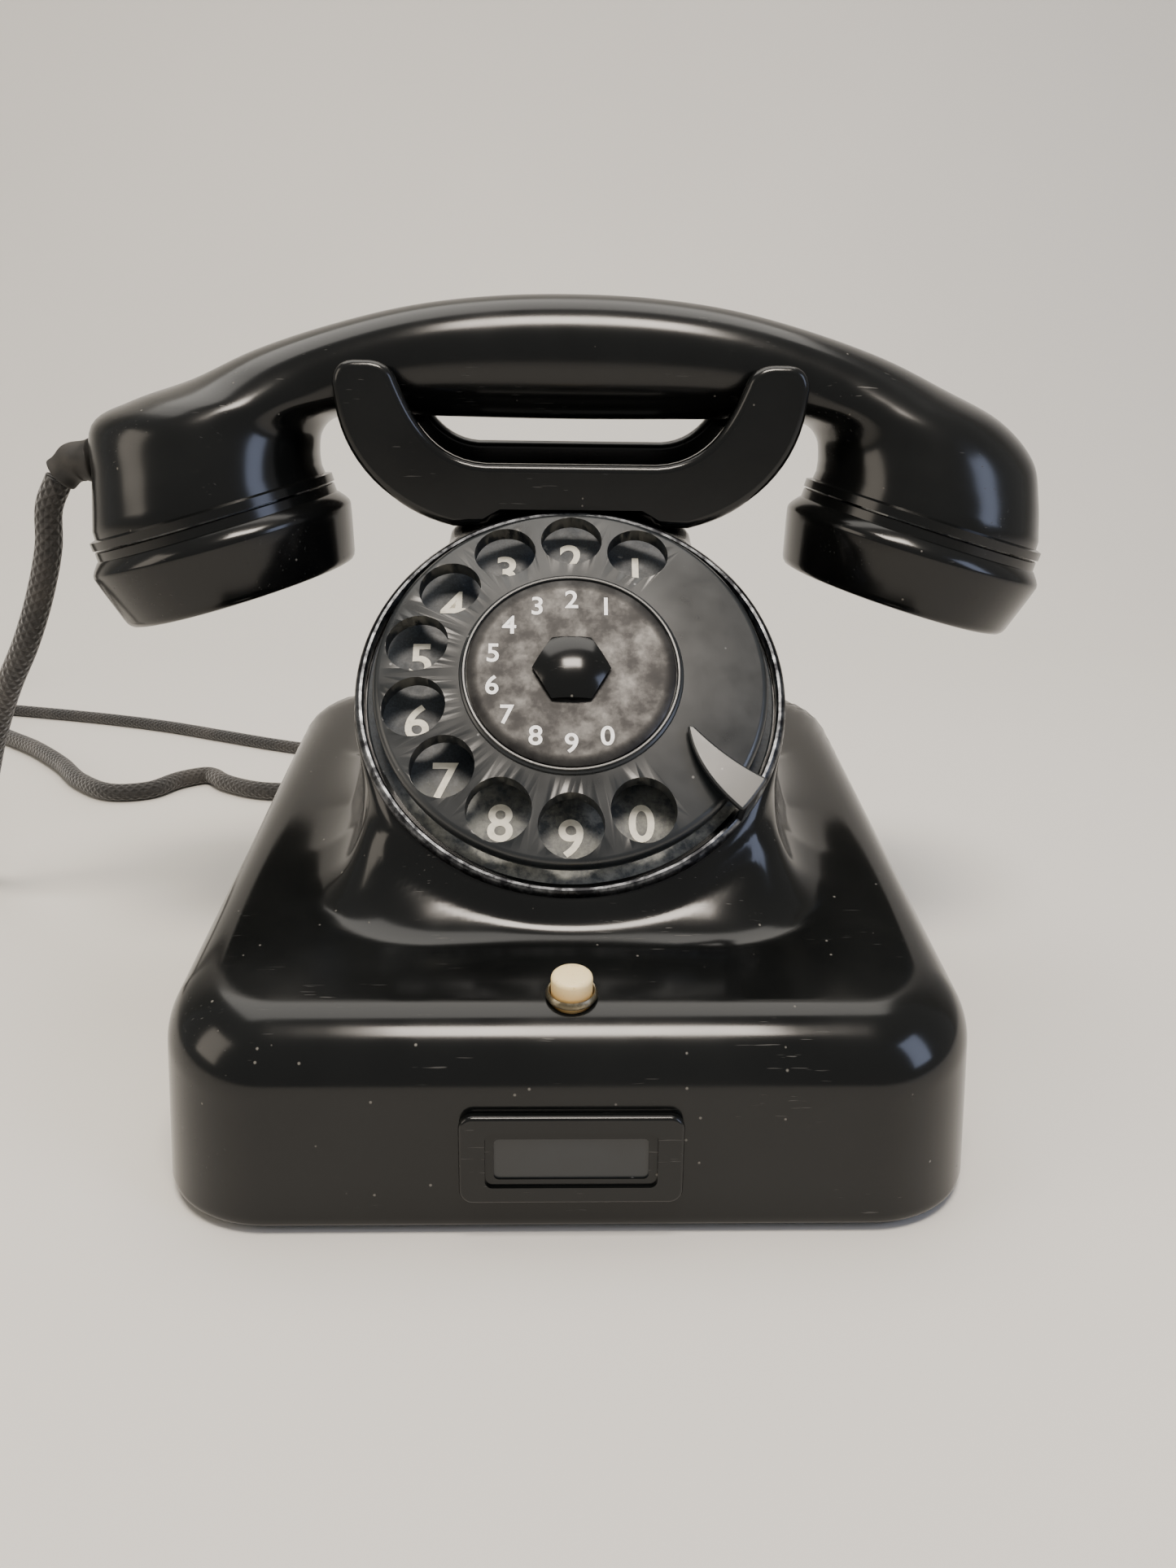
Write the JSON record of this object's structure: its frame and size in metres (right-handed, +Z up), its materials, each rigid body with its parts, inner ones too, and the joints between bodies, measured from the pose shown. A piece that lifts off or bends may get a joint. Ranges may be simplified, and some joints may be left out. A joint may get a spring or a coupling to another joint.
{
  "type": "rotary desk telephone",
  "caption": "Black bakelite rotary desk telephone with a sloping round dial, a forked cradle, a handset on a textile cord, a cream push button and a line cord.",
  "frame": {"origin": "on the table, under the middle of the body", "axes": "+X along the handset to the earpiece end, +Y to the rear, +Z up; the dial faces -Y"},
  "size_m": [0.5387, 0.4196, 0.171],
  "materials": {
    "black_bakelite": "moulded black bakelite, polished, with fine scratches and dust",
    "wheel_plastic": "charcoal moulded plastic, satin",
    "steel": "plain pressed steel, slightly aged",
    "brass": "stamped and turned brass",
    "dark_metal": "dark lacquered metal, worn bright at its edges",
    "contact_copper": "copper wire and bronze contact blades",
    "rubber": "matt black rubber",
    "textile": "braided black-brown cotton over the wires",
    "ivory_plastic": "cream plastic, yellowed",
    "number_card": "dark enamelled sheet, worn, with pale digits"
  },
  "bodies": {
    "root": {"housing_shell": "black_bakelite", "base_plate": "dark_metal", "rubber_foot_1": "rubber", "rubber_foot_2": "rubber", "rubber_foot_3": "rubber", "rubber_foot_4": "rubber", "dial_bezel": "dark_metal", "number_ring": "number_card", "dial_case": "steel", "finger_stop": "black_bakelite", "mainspring": "steel", "governor_cup": "brass", "pulse_contacts": "contact_copper", "button_collar": "steel", "button_contact": "contact_copper", "label_frame": "black_bakelite", "label_card": "number_card", "cradle_spring": "steel", "hook_frame": "steel", "hook_pin": "steel", "hook_contacts": "contact_copper", "chassis_bracket": "steel", "gong_left": "brass", "gong_right": "brass", "gong_post_left": "steel", "gong_post_right": "steel", "bell_coil_1": "contact_copper", "bell_coil_2": "contact_copper", "clapper_bracket": "steel", "induction_coil": "contact_copper", "capacitor": "steel", "terminal_strip": "black_bakelite", "handset_cord_hanging": "textile", "handset_cord_lying": "textile", "handset_cord_coil": "textile", "line_cord": "textile", "line_cord_coil": "textile", "line_cord_tail": "textile", "line_plug": "black_bakelite", "handset_cord_relief": "rubber", "line_cord_relief": "rubber"},
    "handset": {"handset_handle": "black_bakelite", "mouth_cap": "black_bakelite", "ear_cap": "black_bakelite", "transmitter_capsule": "steel", "receiver_capsule": "steel", "handset_relief": "rubber"},
    "cradle_body": {"cradle": "black_bakelite", "cradle_yoke": "steel"},
    "hook_lever_body": {"hook_lever": "steel"},
    "dial_wheel": {"finger_wheel": "wheel_plastic", "disc_ring": "wheel_plastic", "label_disc": "dark_metal", "centre_knob": "black_bakelite", "dial_shaft": "steel", "main_gear": "brass"},
    "pinion_body": {"pinion_shaft": "brass"},
    "governor_body": {"governor_shaft": "steel"},
    "button_body": {"earth_button": "ivory_plastic"},
    "clapper_body": {"clapper": "steel"}
  },
  "joints": [
    {"name": "handset_lift", "type": "slide", "parent": "root", "child": "handset", "axis": [0, 0, 1], "range_m": [0, 0.12]},
    {"name": "cradle_rise", "type": "slide", "parent": "root", "child": "cradle_body", "axis": [0, 0, 1], "range_m": [0, 0.006], "deforming": ["cradle_spring"]},
    {"name": "hook_lever_turn", "type": "hinge", "parent": "root", "child": "hook_lever_body", "pos_m": [0, 0.024, 0.0792], "axis": [1, 0, 0], "range_deg": [0, 16]},
    {"name": "dial_spin", "type": "hinge", "parent": "root", "child": "dial_wheel", "pos_m": [0, -0.0168, 0.08618], "axis": [0, 0.7431, -0.6691], "range_deg": [0, 308.6], "stiffness_Nm_per_rad": 0.004, "springref_deg": -34.38},
    {"name": "pinion_turn", "type": "hinge", "parent": "root", "child": "pinion_body", "pos_m": [-0.02549, -0.02503, 0.07704], "axis": [0, 0.7431, -0.6691], "range_deg": [-925.8, 0]},
    {"name": "governor_turn", "type": "hinge", "parent": "root", "child": "governor_body", "pos_m": [0, -0.0174, 0.05712], "axis": [1, 0, 0], "range_deg": [0, 2777.4]},
    {"name": "earth_button_press", "type": "slide", "parent": "root", "child": "button_body", "axis": [0, 0.1328, -0.9911], "range_m": [0, 0.0025], "stiffness_N_per_m": 150, "springref_m": -0.002},
    {"name": "clapper_swing", "type": "hinge", "parent": "root", "child": "clapper_body", "pos_m": [0, 0.047, 0.013], "axis": [0, 1, 0], "range_deg": [-6, 6], "stiffness_Nm_per_rad": 0.004}
  ],
  "couplings": [
    {"joint": "cradle_rise", "follows": "handset_lift", "ratio": 0.05},
    {"joint": "hook_lever_turn", "follows": "handset_lift", "rad_per_m": 2.3271},
    {"joint": "pinion_turn", "follows": "dial_spin", "ratio": -3},
    {"joint": "governor_turn", "follows": "dial_spin", "ratio": 9}
  ]
}
